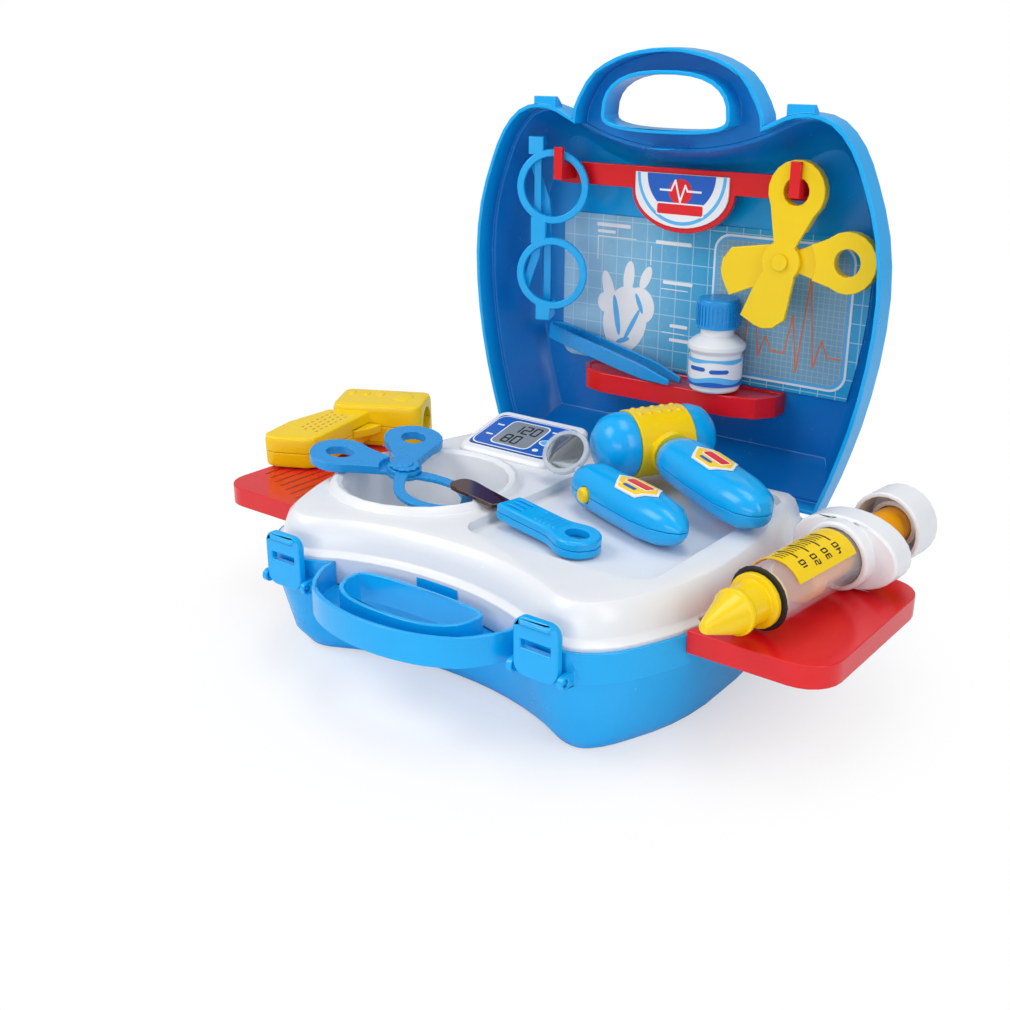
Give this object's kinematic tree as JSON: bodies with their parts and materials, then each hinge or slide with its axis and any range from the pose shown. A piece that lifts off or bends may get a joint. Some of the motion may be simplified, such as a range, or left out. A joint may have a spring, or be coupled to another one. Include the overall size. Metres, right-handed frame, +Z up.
{
  "type": "toy doctor case",
  "caption": "Open toy doctor case with handle, lid, tray and fold-out shelves, holding loose play tools such as hammer, syringe, forceps and glasses.",
  "frame": {"origin": "centre of the flat underside of the base", "axes": "+X across the case to its right side, +Y to the hinge and the standing lid, +Z up"},
  "size_m": [0.3907, 0.2841, 0.2981],
  "materials": {
    "case_blue": "smooth moulded plastic, semi-gloss",
    "deep_blue": "printed sheet, smooth",
    "tool_blue": "smooth moulded plastic",
    "pale_blue": "printed sheet, smooth",
    "red": "smooth moulded plastic, glossy",
    "yellow": "smooth moulded plastic, glossy",
    "orange": "smooth moulded plastic",
    "white": "smooth moulded plastic, glossy",
    "brown": "smooth moulded plastic, glossy",
    "maroon": "dark tinted plastic, glossy",
    "rubber": "matte rubber",
    "clear": "clear moulded plastic",
    "steel": "bright wire",
    "label": "printed sticker"
  },
  "bodies": {
    "case_base": {"base_shell": "case_blue", "hinge_strip": "tool_blue"},
    "tray": {"tray": "white", "monitor_face": "deep_blue"},
    "lid": {"lid_shell": "case_blue", "hook_bar": "red", "badge_plate": "white", "lid_panel": "pale_blue", "lid_shelf": "red"},
    "latch_left": {"latch_left": "case_blue"},
    "latch_right": {"latch_right": "case_blue"},
    "shelf_left": {"shelf_left": "red"},
    "shelf_right": {"shelf_right": "red"},
    "forceps": {"forceps_front_half": "tool_blue", "forceps_rivet": "tool_blue"},
    "forceps_back": {"forceps_back_half": "tool_blue"},
    "scalpel": {"scalpel_handle_top": "case_blue", "scalpel_handle_bottom": "case_blue", "scalpel_blade": "brown"},
    "hammer": {"hammer_sleeve": "yellow", "hammer_cap_left": "case_blue", "hammer_cap_right": "case_blue", "hammer_handle_top": "case_blue", "hammer_handle_bottom": "case_blue", "hammer_label": "label"},
    "mirror": {"mirror_handle_top": "case_blue", "mirror_handle_bottom": "case_blue", "button_spring": "steel", "mirror_label": "label", "mirror_stem": "clear", "mirror_lens": "clear"},
    "mirror_button": {"mirror_button": "yellow"},
    "syringe": {"syringe_nozzle": "yellow", "syringe_seal": "rubber", "syringe_barrel": "clear", "syringe_flange": "white", "syringe_label": "yellow"},
    "plunger": {"syringe_piston": "orange", "syringe_rod": "orange", "syringe_thumb_cap": "white"},
    "gun": {"gun_half_left": "yellow", "gun_half_right": "yellow", "trigger_spring": "steel", "gun_lens": "maroon"},
    "gun_trigger": {"gun_trigger": "yellow"},
    "scissors": {"scissors_front_half": "yellow", "scissors_rivet": "yellow"},
    "scissors_back": {"scissors_back_half": "yellow"},
    "bottle": {"bottle_body": "white", "bottle_label": "white"},
    "bottle_cap": {"bottle_cap": "tool_blue"},
    "tweezers": {"tweezers": "tool_blue"},
    "glasses": {"glasses_frame": "case_blue"},
    "glasses_arm_upper": {"glasses_arm_upper": "case_blue"},
    "glasses_arm_lower": {"glasses_arm_lower": "case_blue"}
  },
  "joints": [
    {"name": "lid_hinge", "type": "hinge", "parent": "case_base", "child": "lid", "pos_m": [0, 0.1064, 0.057], "axis": [1, 0, 0], "range_deg": [0, 10]},
    {"name": "latch_left_hinge", "type": "hinge", "parent": "case_base", "child": "latch_left", "pos_m": [-0.079, -0.1079, 0.0452], "axis": [1, 0, 0], "range_deg": [0, 95]},
    {"name": "latch_right_hinge", "type": "hinge", "parent": "case_base", "child": "latch_right", "pos_m": [0.079, -0.1079, 0.0452], "axis": [1, 0, 0], "range_deg": [0, 95]},
    {"name": "tray_lift", "type": "slide", "parent": "case_base", "child": "tray", "axis": [0, 0, 1], "range_m": [0, 0.01]},
    {"name": "shelf_left_lift", "type": "slide", "parent": "case_base", "child": "shelf_left", "axis": [0, 0, 1], "range_m": [0, 0.012]},
    {"name": "shelf_right_lift", "type": "slide", "parent": "case_base", "child": "shelf_right", "axis": [0, 0, 1], "range_m": [0, 0.012]},
    {"name": "forceps_lift", "type": "slide", "parent": "tray", "child": "forceps", "axis": [0, 0, 1], "range_m": [0, 0.003]},
    {"name": "forceps_pivot", "type": "hinge", "parent": "forceps", "child": "forceps_back", "pos_m": [-0.079, -0.019, 0.0805], "axis": [0.1324, -0.043, 0.9903], "range_deg": [0, 8]},
    {"name": "scalpel_lift", "type": "slide", "parent": "tray", "child": "scalpel", "axis": [0, 0, 1], "range_m": [0, 0.008]},
    {"name": "hammer_lift", "type": "slide", "parent": "tray", "child": "hammer", "axis": [0, 0, 1], "range_m": [0, 0.004]},
    {"name": "mirror_lift", "type": "slide", "parent": "tray", "child": "mirror", "axis": [0, 0, 1], "range_m": [0, 0.008]},
    {"name": "mirror_button_slide", "type": "slide", "parent": "mirror", "child": "mirror_button", "axis": [0.3907, 0.9205, 0], "range_m": [0, 0.0012], "stiffness_N_per_m": 250, "springref_m": -0.0006},
    {"name": "syringe_lift", "type": "slide", "parent": "shelf_right", "child": "syringe", "axis": [0, 0, 1], "range_m": [0, 0.008]},
    {"name": "syringe_plunger", "type": "slide", "parent": "syringe", "child": "plunger", "axis": [0.1442, 0.9887, 0.0412], "range_m": [-0.018, 0.036]},
    {"name": "gun_lift", "type": "slide", "parent": "shelf_left", "child": "gun", "axis": [0, 0, 1], "range_m": [0, 0.008]},
    {"name": "gun_trigger_slide", "type": "slide", "parent": "gun", "child": "gun_trigger", "axis": [-0.891, -0.454, 0], "range_m": [0, 0.003], "stiffness_N_per_m": 250, "springref_m": -0.001},
    {"name": "scissors_lift", "type": "slide", "parent": "lid", "child": "scissors", "axis": [0, 0, 1], "range_m": [0, 0.002]},
    {"name": "scissors_pivot", "type": "hinge", "parent": "scissors", "child": "scissors_back", "pos_m": [0.0689, 0.1207, 0.19126], "axis": [0, -1, 0], "range_deg": [-20, 14]},
    {"name": "bottle_lift", "type": "slide", "parent": "lid", "child": "bottle", "axis": [0, 0, 1], "range_m": [0, 0.004]},
    {"name": "bottle_cap_turn", "type": "hinge", "parent": "bottle", "child": "bottle_cap", "pos_m": [0.0285, 0.1288, 0.15], "axis": [0, 0, 1], "continuous": true},
    {"name": "tweezers_lift", "type": "slide", "parent": "lid", "child": "tweezers", "axis": [0, 0, 1], "range_m": [0, 0.006]},
    {"name": "glasses_lift", "type": "slide", "parent": "lid", "child": "glasses", "axis": [0, 0, 1], "range_m": [0, 0.004]},
    {"name": "glasses_arm_upper_hinge", "type": "hinge", "parent": "glasses", "child": "glasses_arm_upper", "pos_m": [-0.09216, 0.11928, 0.24535], "axis": [0.9135, 0.4067, 0], "range_deg": [0, 3.5]},
    {"name": "glasses_arm_lower_hinge", "type": "hinge", "parent": "glasses", "child": "glasses_arm_lower", "pos_m": [-0.08982, 0.12633, 0.14415], "axis": [-0.9135, -0.4067, 0], "range_deg": [0, 8]}
  ]
}
